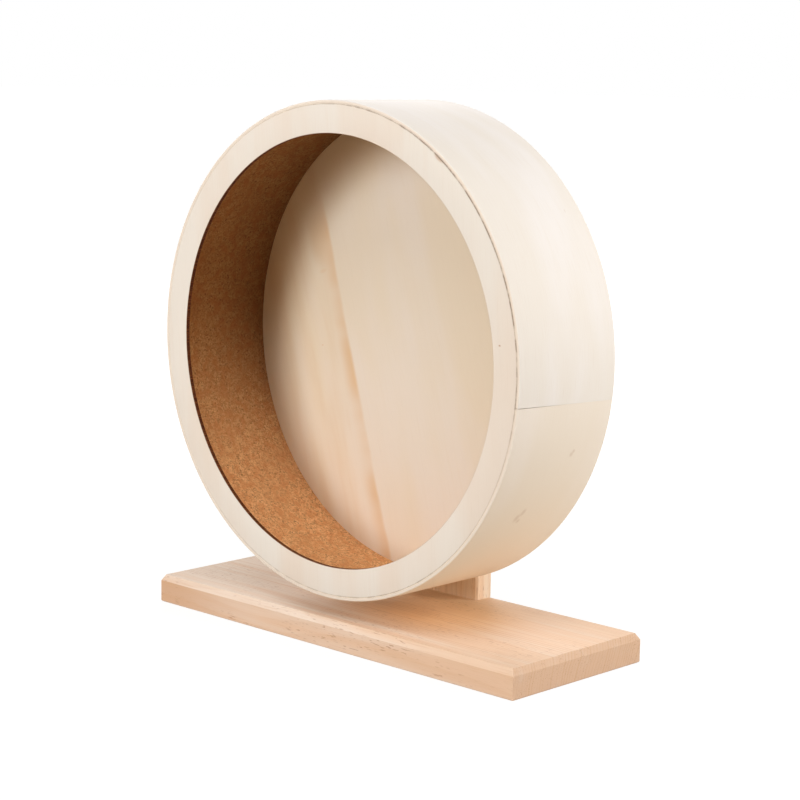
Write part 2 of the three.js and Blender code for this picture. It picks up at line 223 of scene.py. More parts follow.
def seal(base, rough, height, depth, metal=0.0, gloss=0.5, inside=0.0):
    """Ends a finish in one shader. Height runs 0 to 1 over a depth in mm."""
    bump = put("Bump", {"Height": height, "Distance": depth * MM, "Strength": 1.0})
    sockets = {"Base Color": base, "Roughness": rough, "Metallic": metal, "Normal": bump}
    sockets |= {"Specular IOR Level": gloss, "Subsurface Weight": inside}
    return end(put("BsdfPrincipled", sockets))


print("node calls ready")

# %% [markdown]
# ## Floor, backdrop and light
#
# The photograph has a pure white ground with next to no shadow. Light enough to burn the floor
# white would burn the pale plywood too. So floor and world look white where the camera, or a
# shiny surface, sees them directly, and are ordinary pale surfaces for the light that falls on
# the wheel. Near the wheel the floor glows a little below white, and a part of the light that
# falls on it is added. Under the base board that part is missing, which leaves a faint shadow.
# Further out, where the lamps reach less, the glow rises to full white.
#
# The key lamp and a weaker one under it stand low in front, a little to the left. They shine on
# the right of the disc and the low part of the cork and leave the rest in shade. Two high lamps
# model the top, two brighten the drum's right side and two light the back. The world is dim and
# the floor gives back little light, because light from all sides would grey the shade inside
# the drum, which is deep and brown.

# %% Floor and world
FLOOR_SIDE = 40.0  # metres, so that its far edge is lost in the white
FLOOR_GLOW = 0.84  # how white it is near the wheel, before light is added
FLOOR_SHADOW = 0.3  # share of the light falling on it that is added to that
FLOOR_NEAR, FLOOR_FAR = 0.35, 1.3  # metres over which the glow rises to white
FLOOR_TONE = 0.8  # of the floor that a camera sees
FLOOR_BOUNCE = (0.55, 0.51, 0.455, 1.0)  # of each colour, given back to the wheel
WORLD_LIGHT = 0.125
WORLD_TINT = (1.0, 0.79, 0.56, 1.0)  # wood and cork all round warm the light in the shade


def seen_directly():
    """1 where a camera, mirror-like or see-through ray looks at the surface, else 0."""
    ray = put("LightPath", {}).node.outputs
    seen = maths("MAXIMUM", ray["Is Camera Ray"], ray["Is Glossy Ray"])
    return maths("MAXIMUM", seen, ray["Is Transmission Ray"])


floor_mesh = bpy.data.meshes.new("floor")
half = FLOOR_SIDE / 2
corners = [(-half, -half, 0), (half, -half, 0), (half, half, 0), (-half, half, 0)]
floor_mesh.from_pydata(corners, [], [(0, 1, 2, 3)])
add("floor", floor_mesh)

new_finish("floor_white")
matte = put("BsdfDiffuse", {"Color": FLOOR_BOUNCE})
dim = FLOOR_TONE * FLOOR_SHADOW
shaded = put("BsdfDiffuse", {"Color": (dim, dim, dim, 1)})
reach = length(put("TexCoord", {}, out=3))
strength = ramp(reach, FLOOR_NEAR, FLOOR_FAR, FLOOR_GLOW, 1.0)
glow = put("Emission", {"Color": (1, 1, 1, 1), "Strength": strength})
white = put("AddShader", {0: shaded, 1: glow})
floor_mesh.materials.append(end(put("MixShader", {0: seen_directly(), 1: matte, 2: white})))

begin(bpy.data.worlds.new("white_tent"))
seen = seen_directly()
strength = maths("MAXIMUM", seen, WORLD_LIGHT)
tone = blend(seen, WORLD_TINT, (1, 1, 1, 1))
bpy.context.scene.world = end(put("Background", {"Color": tone, "Strength": strength}), "World")
print(f"floor {FLOOR_SIDE:.0f} m square, world light {WORLD_LIGHT}")

# %% Lamps
LAMP_AIM = Vector((0, 0, 0.18))  # near the drum's middle
LAMPS = {
    # name: place in m, side in m, watts
    "front_key": ((-0.49, -2.3, 0.62), 0.9, 26),
    "front_low": ((-0.3, -2.35, 0.35), 0.9, 9.5),
    "high_front": ((0.31, -1.44, 2.07), 0.9, 9.5),
    "high_right": ((1.05, -0.8, 2.2), 1.0, 15),
    "back_right": ((1.68, 1.41, 1.16), 1.0, 20),
    "right_low": ((2.1, 0.6, 0.55), 0.9, 15),
    "back_left": ((-1.6, 1.4, 1.3), 1.0, 16),
    "back": ((-0.5, 2.3, 0.6), 0.9, 11),
}
for name, (place, side, watts) in LAMPS.items():
    lamp = add(name, bpy.data.lights.new(name, "AREA"))
    lamp.data.size = side
    lamp.data.energy = watts
    lamp.location = place
    lamp.rotation_mode = "QUATERNION"
    lamp.rotation_quaternion = (LAMP_AIM - Vector(place)).to_track_quat("-Z", "Y")
    print(f"lamp {name}: {watts} W from {Vector(place).length:.1f} m")

bpy.context.scene.view_settings.view_transform = "Standard"

# %% [markdown]
# ## Turning a piece about the axle
#
# Most of the wheel is turned work: a closed outline, given as (radius, y) corners, swept round
# the axle. Building the rows of points directly also allows a strip whose ends meet in a slanted
# seam, and a surface that wavers by tenths of a millimetre.
#
# No real edge is sharp. `eased` rounds each corner of the outline by a small radius, and that
# thin arc catches the light along a rim.

# %% Easing the corners of an outline
EASE_STEPS = 3


def eased(corners):
    """Rounds the corners of an outline. Each corner is (radius, y, ease), all in mm."""
    outline = []
    for i, (r, y, ease) in enumerate(corners):
        here = Vector((r, y))
        if ease == 0:
            outline.append(here)
            continue
        back = (Vector(corners[i - 1][:2]) - here).normalized()
        ahead = (Vector(corners[(i + 1) % len(corners)][:2]) - here).normalized()
        half_angle = back.angle(ahead) / 2
        centre = here + (back + ahead).normalized() * ease / math.sin(half_angle)
        start = here + back * ease / math.tan(half_angle) - centre
        stop = here + ahead * ease / math.tan(half_angle) - centre
        a = math.atan2(start.y, start.x)
        turn = (math.atan2(stop.y, stop.x) - a + math.pi) % (2 * math.pi) - math.pi
        for k in range(EASE_STEPS + 1):
            angle = a + turn * k / EASE_STEPS
            outline.append(centre + ease * Vector((math.cos(angle), math.sin(angle))))
    return outline


print("points to a corner:", EASE_STEPS + 1)

# %% Sweeping it round the axle
SHARP_DEG = 35  # edges that turn more than this stay crisp
ROUND_STEPS = 480  # steps round the drum, so that its outline shows no corners
SAME_POINT = 1e-7  # metres


def finish_mesh(name, points, faces, sharp_deg=SHARP_DEG):
    """A piece from points in mm, welded, facing outwards and smooth up to sharp edges."""
    mesh = bpy.data.meshes.new(name)
    mesh.from_pydata([Vector(p) * MM for p in points], [], faces)
    work = bmesh.new()
    work.from_mesh(mesh)
    bmesh.ops.remove_doubles(work, verts=work.verts, dist=SAME_POINT)
    bmesh.ops.recalc_face_normals(work, faces=work.faces)
    work.to_mesh(mesh)
    work.free()
    mesh.polygons.foreach_set("use_smooth", [True] * len(mesh.polygons))
    mesh.set_sharp_from_angle(angle=math.radians(sharp_deg))
    return add(name, mesh)


def turned(name, outline, steps, swing=None, reshape=None, sharp_deg=SHARP_DEG):
    """Sweeps an outline of (radius, y) in mm about the axle.

    swing(share, y) gives the angle in degrees for a strip that doesn't close on itself, and
    reshape(angle, r, y) the radius and y of a point where the piece isn't quite round.
    """
    closed = swing is None
    rows = steps if closed else steps + 1
    width = len(outline)
    points = []
    for i in range(rows):
        for r, y in outline:
            angle = 360 * i / steps if closed else swing(i / steps, y)
            r, y = reshape(angle, r, y) if reshape else (r, y)
            x, z = circle(angle, r)
            points.append((x, y, AXLE_Z + z))
    faces = []
    for i in range(steps):
        for j in range(width):
            a, b = i * width + j, i * width + (j + 1) % width
            shift = ((i + 1) % rows - i) * width
            faces.append((a, b, b + shift, a + shift))
    if not closed:
        faces.append(tuple(range(width)))
        faces.append(tuple(reversed(range(steps * width, steps * width + width))))
    return finish_mesh(name, points, faces, sharp_deg)


def ring(name, bore, node, ease, steps):
    """A plain ring or tube with eased corners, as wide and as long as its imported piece."""
    out, front, back = turned_size(node)
    corners = [(bore, front, ease), (out, front, ease), (out, back, ease), (bore, back, ease)]
    return turned(name, eased(corners), steps)


def paint(piece, finish):
    piece.data.materials.clear()
    piece.data.materials.append(finish)


def dress(piece, finish, body, slot, *nodes):
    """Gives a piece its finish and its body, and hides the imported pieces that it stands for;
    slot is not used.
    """
    paint(piece, finish)
    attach(piece, body)
    if nodes:
        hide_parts(*nodes)
    print(f"{piece.name}: {len(piece.data.polygons)} faces, rides on {body}")


print(f"the drum turns in {ROUND_STEPS} steps of {360 / ROUND_STEPS} degrees")

# %% [markdown]
# ## Reading a place on a piece
#
# All wood here is a solid texture: colour depends on where a point lies inside the board, so the
# grain runs through a corner and shows its end on a cut face, as real timber does. Object
# coordinates give that, and they turn with the wheel. The object-space normal tells a sawn end
# from a planed face.

# %% Places and directions in a finish
def place_in_mm():
    return vectors("MULTIPLY", put("TexCoord", {}, out=3), (1 / MM,) * 3)


def facing(axis):
    """How squarely a surface faces along x, y or z, from 0 to 1, whichever way it looks."""
    normal = put("TexCoord", {}, out=1)
    return maths("ABSOLUTE", apart(normal)["xyz".index(axis)])


def from_axle():
    """x, y and z of a point in mm, with z from the axle, and its distance from the axle."""
    x, y, z = apart(place_in_mm())
    z = minus(z, AXLE_Z)
    return x, y, z, length(bring(x, 0.0, z))


def blot(u, v, at, long, wide, lean_deg=0.0):
    """A soft mark round a point of a surface: 1 at its middle, 0 outside, long and wide in mm."""
    du, dv = minus(u, at[0]), minus(v, at[1])
    c, s = circle(lean_deg)
    a = plus(times(du, c / long), times(dv, s / long))
    b = plus(times(du, -s / wide), times(dv, c / wide))
    return ramp(length(bring(a, b, 0.0)), 1.0, 0.25)


def marked(face, tone, u, v, marks):
    """Blots a tone onto a face. A mark is (place, half length, half width, lean, strength)."""
    for at, long, wide, lean_deg, share in marks:
        face = blend(times(blot(u, v, at, long, wide, lean_deg), share), face, tone)
    return face


print("places and directions ready")

# %% [markdown]
# ## Plywood with a pale face
#
# The ring, the disc and the hub are cut from birch plywood. Its face veneer is peeled, so the
# figure is faint: long fibres a few tenths of a millimetre wide, and clouds of a warmer tone a
# hand wide. `veneer` makes both from noise that is stretched along the grain. The colour stays
# within a few steps of cream, because a stronger grain would look like another wood.

# %% Veneer
CREAM = colour(229, 221, 211)
CREAM_WARM = colour(227, 213, 199)
FIBRE_TONE = colour(212, 193, 173)
RAW_WOOD_GLOSS = 0.12  # unfinished wood reflects far less than a varnished surface
RAW_WOOD_ROUGH = 0.65
# how fast each pattern changes per mm: along the grain, across it and through the sheet
VENEER_CLOUD = (0.006, 0.022, 0.02)
VENEER_STREAK = (0.011, 0.28, 0.2)
VENEER_FIBRE = (0.05, 1.9, 1.0)


def veneer(along, across, through, pale=CREAM, warm=CREAM_WARM, fibre_tone=FIBRE_TONE):
    """Colour and fibre height of a peeled veneer, given the directions of its grain in mm."""
    grain = bring(along, across, through)
    cloud = grained(grain, VENEER_CLOUD, 2)
    streak = grained(grain, VENEER_STREAK, 3)
    fibre = grained(grain, VENEER_FIBRE, 3)
    tone = blend(ramp(cloud, 0.38, 0.66), pale, warm)
    tone = blend(ramp(streak, 0.5, 0.8, 0, 0.3), tone, warm)
    tone = blend(ramp(fibre, 0.5, 0.85, 0, 0.22), tone, fibre_tone)
    return tone, fibre


def with_lean(x, z, lean_deg):
    """Along and across the grain of a sheet whose grain leans from upright towards -x."""
    c, s = circle(lean_deg)
    along = minus(times(z, c), times(x, s))
    across = plus(times(x, c), times(z, s))
    return along, across


print("veneer ready")

# %% [markdown]
# ## The laser's burnt edge
#
# The ring's opening is cut by laser, which leaves the edge dark brown with fine stripes straight
# through the sheet, and singes the face for a few tenths of a millimetre. The stripes come from
# noise that changes fast round the edge and slowly across it.

# %% Burnt edge
BURNT = colour(84, 42, 22)
BURNT_PALE = colour(132, 78, 44)
SINGED = colour(176, 132, 92)
STRIPES = (1.4, 0.12, 1.4)  # changes per mm along x, y and z


def burnt_edge(x, y, z):
    stripes = grained(bring(x, y, z), STRIPES, 3)
    return blend(ramp(stripes, 0.42, 0.7), BURNT, BURNT_PALE), stripes


def on_cut_edge():
    """1 where a sheet was cut through, 0 on its two faces."""
    return ramp(facing("y"), 0.75, 0.45)


def seal_cut_sheet(face, fibre, burnt, stripes, depth):
    """Ends the finish of a sheet with veneer on its faces and a burn on its cut edge."""
    cut = on_cut_edge()
    height = blend(cut, fibre, stripes)
    return seal(blend(cut, face, burnt), RAW_WOOD_ROUGH, height, depth, gloss=RAW_WOOD_GLOSS)


print("burnt edge ready")

# %% [markdown]
# ## The front ring
#
# A flat ring of 3 mm plywood, let into the drum. Its four corners are eased by a quarter of a
# millimetre.
#
# The joint round it is filled with wood glue, a bead of its own just below the face. The glue
# took up sawdust and soot unevenly: it is greyish brown at the upper right, light brown at the
# bottom and pale on the left. A little of it stains the wood on both sides, so the ring, the
# glue and the shell all use `joint_soot`.

# %% Front ring
SHELL_WALL = 2.4
RING_OPENING = 143.5
RING_EASE = 0.25
SINGE_WIDTH = 0.5
GLUE_PALE = colour(224, 206, 184)
GLUE_DARK = colour(132, 106, 82)
SOOT_AT_DEG = 38.0  # where the joint is darkest, from +x towards +z
SOOT_FROM, SOOT_FULL = 0.35, 0.95  # shares of the drum's radius towards that place
SOOT_BELOW, SOOT_LOWEST = -0.6, -0.95  # the same, straight down
STAIN_WIDTH = 0.9
STAIN = 0.7  # how strong a stain or a singed edge gets
RING_LEAN_DEG = 4.0
RING_MARKS = [
    # place (x, z from the axle), half length, half width, lean in degrees, strength
    ((148.0, 20.3), 1.3, 0.8, 0, 0.7),
    ((94.3, 131.4), 6.0, 1.8, -36, 0.5),
]

ring_out, ring_front, ring_back = turned_size("front_ring")


def joint_soot(x, y, z):
    """How dark the glue in the joint is, from 0 to 1, round the drum."""
    c, s = circle(SOOT_AT_DEG)
    towards = plus(times(x, c), times(z, s))
    near = ramp(towards, SOOT_FROM * WHEEL_RADIUS, SOOT_FULL * WHEEL_RADIUS)
    below = ramp(z, SOOT_BELOW * WHEEL_RADIUS, SOOT_LOWEST * WHEEL_RADIUS, 0, 0.45)
    spots = specks(bring(x, y, z), 0.14, 4)
    uneven = ramp(spots, 0.4, 0.62, 0.15, 0.9)
    return times(maths("MAXIMUM", near, below), uneven)


def stained(face, reach, clean, joint, x, y, z):
    """Stains wood with the glue, from the radius where it is clean to that of the joint."""
    stain = ramp(reach, clean, joint, 0, STAIN)
    return blend(times(stain, joint_soot(x, y, z)), face, GLUE_DARK)


def ring_finish():
    new_finish("ring_plywood")
    x, y, z, reach = from_axle()
    face, fibre = veneer(*with_lean(x, z, RING_LEAN_DEG), y)
    face = marked(face, SINGED, x, z, RING_MARKS)
    burnt, stripes = burnt_edge(x, y, z)
    near_edge = ramp(reach, RING_OPENING + SINGE_WIDTH, RING_OPENING, 0, STAIN)
    face = blend(near_edge, face, SINGED)
    face = stained(face, reach, ring_out - STAIN_WIDTH, ring_out, x, y, z)
    return seal_cut_sheet(face, fibre, burnt, stripes, 0.04)


front_ring = ring("front_ring_plywood", RING_OPENING, "front_ring", RING_EASE, ROUND_STEPS)
dress(front_ring, ring_finish(), "wheel", "plywood", "front_ring")

# %% Glue in the ring's joint
GLUE_BELOW_FACE = 0.1
GLUE_STEPS = 360


def glue_finish():
    new_finish("wood_glue")
    x, y, z, _ = from_axle()
    grit = specks(bring(x, y, z), 1.3, 2)
    tone = blend(joint_soot(x, y, z), GLUE_PALE, GLUE_DARK)
    tone = blend(ramp(grit, 0.55, 0.75, 0, 0.3), tone, GLUE_DARK)
    return seal(tone, 0.5, grit, 0.05)


shell_inside = WHEEL_RADIUS - SHELL_WALL
glue_front = ring_front + GLUE_BELOW_FACE
glue_outline = [(ring_out, glue_front), (shell_inside, glue_front)]
glue_outline += [(shell_inside, ring_back), (ring_out, ring_back)]
glue = turned("ring_joint_glue", glue_outline, GLUE_STEPS)
dress(glue, glue_finish(), "wheel", "plywood")

# %% [markdown]
# ## The drum shell
#
# One strip of bendy plywood, 2.4 mm thick and about a metre long, is wrapped round the ring and
# the disc until its two ends meet. The butt seam is cut a little out of square, and it gapes at
# the front and closes towards the back, where the glue has held it. So the strip is swept from
# one end to the other, and each end's angle depends on y.
#
# Its grain runs round the drum. To follow it, every point carries its place on the flat strip in
# an attribute that the finish reads. That place jumps at the seam, as the real grain does.

# %% Drum shell, the strip
SHELL_OUTER_EASE = 0.8
SHELL_INNER_EASE = 0.3
SEAM_DEG = -6.5  # at the middle of the drum, from +x towards +z
SEAM_SLANT = -0.0134  # degrees per mm towards the back
SEAM_GAP_FRONT = 0.45
SEAM_GAP_BACK = 0.05

middle = (DRUM_FRONT + DRUM_BACK) / 2


def seam_angle(y):
    return SEAM_DEG + SEAM_SLANT * (y - middle)


def shell_swing(share, y):
    back = (y - DRUM_FRONT) / (DRUM_BACK - DRUM_FRONT)
    gap = SEAM_GAP_FRONT + (SEAM_GAP_BACK - SEAM_GAP_FRONT) * min(1, 2 * back)
    half_gap = math.degrees(gap / 2 / WHEEL_RADIUS)
    return seam_angle(y) + half_gap + share * (360 - 2 * half_gap)


def carry_strip_place(piece):
    """Stores where each point lay on the flat strip: (length along it, width, 0) in mm."""
    place = piece.data.attributes.new("strip_place", "FLOAT_VECTOR", "POINT")
    for vertex, held in zip(piece.data.vertices, place.data):
        x, y, z = vertex.co / MM
        angle = (math.degrees(math.atan2(z - AXLE_Z, x)) - seam_angle(y)) % 360
        held.vector = (math.radians(angle) * WHEEL_RADIUS, y, 0)


shell_corners = [(WHEEL_RADIUS, DRUM_FRONT, SHELL_OUTER_EASE), (WHEEL_RADIUS, middle, 0)]
shell_corners += [(WHEEL_RADIUS, DRUM_BACK, SHELL_OUTER_EASE)]
shell_corners += [(shell_inside, DRUM_BACK, SHELL_INNER_EASE)]
shell_corners += [(shell_inside, DRUM_FRONT, SHELL_INNER_EASE)]
shell = turned("drum_shell_plywood", eased(shell_corners), ROUND_STEPS, shell_swing)
carry_strip_place(shell)
print(f"seam: {SEAM_GAP_FRONT} mm at the front, {SEAM_GAP_BACK} mm at the back")

# %% Drum shell, the finish
SHELL_PALE = colour(242, 237, 233)
SHELL_WARM = colour(238, 231, 222)
# partly the veneer's own tone, partly painted warm light as from the base board below
SHELL_YELLOW_AND_BOUNCE = colour(246, 228, 203)
SHELL_RIM = colour(232, 219, 205)
PLY_GLUE = colour(196, 164, 128)
SHELL_PLIES = 3
YELLOW_FROM, YELLOW_FULL = 700, 860  # mm along the strip, where the drum's low side turns yellower and brighter
YELLOW_FADES, STRIP_END = 900, 1036  # and less so again
SHELL_MARKS = [
    # place (length along the strip, y), half length, half width, lean in degrees, strength
    ((955.0, -27.0), 5.0, 3.2, 14, 0.22),
    ((959.5, -23.4), 4.6, 2.8, 14, 0.22),
    ((952.0, -23.6), 2.6, 2.2, 16, 0.22),
    ((1001.8, 0.6), 2.6, 2.4, 20, 0.22),
    ((1004.0, 2.2), 1.8, 1.8, 10, 0.22),
    ((125.4, 16.0), 2.0, 0.6, 0, 0.22),
]


def shell_finish():
    new_finish("shell_plywood")
    strip = put("Attribute", {}, out=1, attribute_name="strip_place")
    along, width, _ = apart(strip)
    x, y, z, reach = from_axle()
    face, fibre = veneer(along, width, reach, SHELL_PALE, SHELL_WARM)
    # yellower and brighter over the low side of the drum: partly the veneer's tone, partly painted
    # warm light as reflected from the base board
    yellow = ramp(along, YELLOW_FROM, YELLOW_FULL, 0, 0.9)
    yellow = times(yellow, ramp(along, STRIP_END, YELLOW_FADES, 0.42, 1.0))
    face = blend(yellow, face, SHELL_YELLOW_AND_BOUNCE)
    face = marked(face, SINGED, along, width, SHELL_MARKS)
    # the wall's rim shows its plies, which meet in thin lines of glue
    ply = maths("PINGPONG", minus(WHEEL_RADIUS, reach), SHELL_WALL / SHELL_PLIES)
    edge = blend(ramp(ply, 0.1, 0.0, 0, STAIN), SHELL_RIM, PLY_GLUE)
    edge = stained(edge, reach, shell_inside + STAIN_WIDTH, shell_inside, x, y, z)
    face = blend(ramp(facing("y"), 0.8, 0.95), face, edge)
    return seal(face, 0.6, fibre, 0.03, gloss=RAW_WOOD_GLOSS)


dress(shell, shell_finish(), "wheel", "bent_plywood", "drum_shell")

# %% [markdown]
# ## The cork liner
#
# The running surface is a sheet of cork granulate, pressed from crumbs of about a millimetre.
# Each crumb has its own tone, and a few are nearly black or straw yellow. Voronoi cells are such
# a packing: each cell gets a random colour, and its distance field gives the dents between
# crumbs. Noise bends the cell walls, so that no straight lines show.
#
# The sheet itself wavers by a tenth of a millimetre, which is real shape and not bump, so the
# inside of the outline has a point every two millimetres.

# %% Cork, the sheet
CORK_THICKNESS = 2.6
CORK_WAVER = 0.12
CORK_SEAM_DEG = 24.0
CORK_SEAM_GAP = 0.3
CORK_STEP = 2.0  # mm between the points across the sheet
CORK_STEPS = 600
SLOW_WAVER, FAST_WAVER = 0.06, 0.3  # changes per mm

cork_out, cork_front, cork_back = turned_size("cork_liner")
cork_in = cork_out - CORK_THICKNESS
rows = round((cork_back - cork_front) / CORK_STEP)
cork_outline = [Vector((cork_out, cork_front)), Vector((cork_out, cork_back))]
for k in range(rows + 1):
    cork_outline.append(Vector((cork_in, cork_back + (cork_front - cork_back) * k / rows)))


def cork_swing(share, y):
    half_gap = math.degrees(CORK_SEAM_GAP / 2 / cork_in)
    return CORK_SEAM_DEG + half_gap + share * (360 - 2 * half_gap)


def cork_waver(angle, r, y):
    if r > cork_in + CORK_THICKNESS / 2:
        return r, y
    x, z = circle(angle, cork_in)
    at = Vector((x, y, z))
    waver = noise.noise(at * SLOW_WAVER) + 0.5 * noise.noise(at * FAST_WAVER)
    return r + CORK_WAVER * waver, y


cork = turned("cork_sheet", cork_outline, CORK_STEPS, cork_swing, cork_waver)
print(f"cork: radius {cork_in:.2f} mm inside, wavering by {CORK_WAVER} mm")

# %% Cork, the finish
CORK_TAN = colour(204, 152, 100)
CORK_BROWN = colour(178, 124, 78)
CORK_RUST = colour(184, 118, 70)
CORK_STRAW = colour(218, 170, 116)
CORK_DARK = colour(104, 62, 36)
# painted light and shade on the sheet, as a factor on red, green and blue
CORK_PAINTED_LIGHT_GAIN = (1.6, 1.78, 2.05, 1.0)  # painted light, low in the drum where light falls from above
CORK_PAINTED_SHADE_GAIN = (0.7, 0.69, 0.62, 1.0)  # painted shade, in the upper part of the drum
CORK_FRONT_PAINTED_LIGHT = 1.14  # painted light at the open front, in the upper part
CORK_CORNER_PAINTED_SHADE = 0.66  # painted shade in the upper part, in the corner by the disc
CRUMB = 1.1  # mm across
DUST = 0.45  # mm across
CRUMB_BEND = 0.9  # mm by which the cells' walls are bent
CORK_LOWEST, CORK_TURNS = -0.9, 0.2  # shares of its radius where the painted light is fullest and the painted shade deepest


def cork_finish():
    new_finish("cork_granulate")
    place = place_in_mm()
    bend = put("TexNoise", {"Vector": place, "Scale": 0.9, "Detail": 2.0}, out=1)
    bend = {0: vectors("SUBTRACT", bend, (0.5, 0.5, 0.5)), 1: (CRUMB_BEND,) * 3, 2: place}
    bent = put("VectorMath", bend, operation="MULTIPLY_ADD")
    cells = put("TexVoronoi", {"Vector": bent, "Scale": 1 / CRUMB}).node.outputs
    near, crumbs = cells[:2]
    dust_and_painted_shade = put("TexVoronoi", {"Vector": bent, "Scale": 1 / DUST}, out=1)
    tone, odd, _ = apart(crumbs)
    grit, grit_odd, _ = apart(dust_and_painted_shade)
    skin = blend(ramp(tone, 0.1, 0.9), CORK_BROWN, CORK_TAN)
    skin = blend(ramp(odd, 0.88, 0.94, 0, 0.55), skin, CORK_STRAW)
    skin = blend(ramp(odd, 0.12, 0.06, 0, 0.5), skin, CORK_DARK)
    skin = blend(ramp(grit, 0.1, 0.03, 0, 0.5), skin, CORK_DARK)
    skin = blend(ramp(grit_odd, 0.9, 0.97, 0, 0.35), skin, CORK_STRAW)
    mottle = specks(place, 0.16, 3)
    skin = blend(ramp(mottle, 0.42, 0.66, 0, 0.6), skin, CORK_RUST)
    cloud = specks(place, 0.03, 3)
    skin = blend(ramp(cloud, 0.4, 0.7, 0, 0.3), skin, CORK_BROWN)
    # painted light and shade: the cork is paler low in the drum, where light falls from above, and
    # darker higher up, where it is also darker towards the disc and paler at the open front
    _, y, z, _ = from_axle()
    side = ramp(z, CORK_TURNS * cork_in, CORK_LOWEST * cork_in)
    painted_light_gain = blend(side, CORK_PAINTED_SHADE_GAIN, CORK_PAINTED_LIGHT_GAIN)
    depth = ramp(y, cork_front, cork_back, CORK_FRONT_PAINTED_LIGHT, CORK_CORNER_PAINTED_SHADE)
    painted_light_gain = vectors("MULTIPLY", painted_light_gain, blend(side, depth, (1, 1, 1, 1)))
    skin = vectors("MULTIPLY", skin, painted_light_gain)
    dent = ramp(near, 0.75, 0.3)
    height = plus(times(dent, 0.6), times(grit, 0.4))
    return seal(skin, 0.85, height, 0.16, gloss=RAW_WOOD_GLOSS / 2)


dress(cork, cork_finish(), "wheel", "cork", "cork_liner")

# %% [markdown]
# ## The back disc
#
# The disc closes the drum and carries the hub. Its veneer shows the one strong figure of the
# whole wheel: a seam of heartwood that leans from upright, warm and yellowish on one side and
# rosy on the other, with a small split where it reaches the edge. It is a distance from a line
# that wanders a little with noise, and it fades out near the top. In the upper half, the wood in
# the corner by the cork is painted a little darker and more golden: painted shade.

# %% Back disc
DISC_EASE = 0.2
HEART_LEAN_DEG = 16.3
HEART_ACROSS = -70.0  # where the seam lies across the grain, from the axle
HEART_BAND = 14.0  # how far its tone reaches to the left
HEART_EDGE = 3.0  # and to the right
HEART_TONE = colour(224, 188, 146)
DISC_TAN = colour(224, 196, 162)
DISC_PALE = colour(236, 223, 209)
DISC_WARM = colour(233, 216, 190)
DISC_ROSE = colour(231, 219, 202)
DISC_FIBRE = colour(208, 182, 152)
SPLIT_TONE = colour(140, 92, 52)
DISC_CORNER_PAINTED_SHADE = colour(253, 234, 206)  # painted shade: multiplies the wood's tone in the upper corner by the cork
CORNER_SHADE_FROM = 108.0  # radius where the painted shade begins
# what follows is in mm along the grain and across it, from the axle
HEART_FADES, HEART_ENDS = 88.0, 126.0
TAN_PATCH = ((88.0, HEART_ACROSS - 10.0), 26.0, 13.0)
WANDER = 5.0  # how far the seam strays
# place, half length, half width, lean in degrees, strength
SPLIT = ((-153.5, HEART_ACROSS + 0.6), 5.5, 0.6, 0, 0.8)
DISC_MARKS = [  # these in x and z from the axle
    ((-97.0, 41.2), 5.0, 2.0, 20, 0.3),
    ((-96.5, -12.1), 1.3, 0.8, 20, 0.6),
]

disc_out, disc_front, disc_back = turned_size("back_disc")


def disc_finish():
    new_finish("disc_plywood")
    x, y, z, reach = from_axle()
    along, across = with_lean(x, z, HEART_LEAN_DEG)
    wander = specks(bring(times(along, 0.018), 0.0, 0.0), 1.0, 2)
    off = minus(minus(across, HEART_ACROSS - WANDER / 2), times(wander, WANDER))
    face, fibre = veneer(along, across, y, DISC_PALE, DISC_WARM, DISC_FIBRE)
    tint = blend(ramp(off, -30.0, 12.0), DISC_WARM, DISC_ROSE)
    tint = blend(ramp(off, 60.0, 150.0, 0, 0.7), tint, DISC_WARM)
    face = blend(0.5, face, tint)
    seam = times(ramp(off, -HEART_BAND, -0.5), ramp(off, HEART_EDGE, -0.5))
    strong = specks(bring(times(along, 0.022), 4.7, 0.0), 1.0, 2)
    seam = times(seam, ramp(strong, 0.32, 0.6, 0.25, 0.85))
    seam = times(seam, ramp(along, HEART_FADES, HEART_ENDS, 1.0, 0.0))
    face = blend(seam, face, HEART_TONE)
    # tan streaks and one tan patch, both only on the warm side of the seam
    warm_side = ramp(off, 3.0, -2.0)
    streaks = specks(bring(times(along, 0.01), times(across, 0.07), 2.3), 1.0, 4)
    streaks = times(ramp(streaks, 0.35, 0.75, 0, 0.4), warm_side)
    face = blend(streaks, face, DISC_TAN)
    patch = times(times(blot(along, across, *TAN_PATCH), 0.7), warm_side)
    face = blend(patch, face, DISC_TAN)
    face = marked(face, SPLIT_TONE, along, across, [SPLIT])
    face = marked(face, HEART_TONE, x, z, DISC_MARKS)
    # painted shade, darker and golden, in the upper part of the corner by the cork, on the front
    # face
    dust_and_painted_shade = times(ramp(reach, CORNER_SHADE_FROM, disc_out - 4), ramp(z, -40, 40))
    dust_and_painted_shade = times(dust_and_painted_shade, ramp(y, disc_front + 0.6, disc_front + 0.3))
    face = blend(dust_and_painted_shade, face, DISC_CORNER_PAINTED_SHADE, "MULTIPLY")
    face = blend(on_cut_edge(), face, BURNT_PALE)
    return seal(face, RAW_WOOD_ROUGH, fibre, 0.03, gloss=RAW_WOOD_GLOSS)


disc_corners = [(0, disc_front, 0), (disc_out, disc_front, DISC_EASE)]
disc_corners += [(disc_out, disc_back, DISC_EASE), (0, disc_back, 0)]
disc = turned("back_disc_plywood", eased(disc_corners), ROUND_STEPS)
dress(disc, disc_finish(), "wheel", "plywood", "back_disc")

# %% [markdown]
# ## The hub
#
# A round of plywood glued behind the disc holds the axle bolt. Its pocket takes the bolt's
# domed head. In the real hub a square hole keeps the bolt from turning; here a round recess
# gives room to the bolt's square neck. Its edge shows its plies, light and dark in turn, under
# the same laser burn as the ring's.

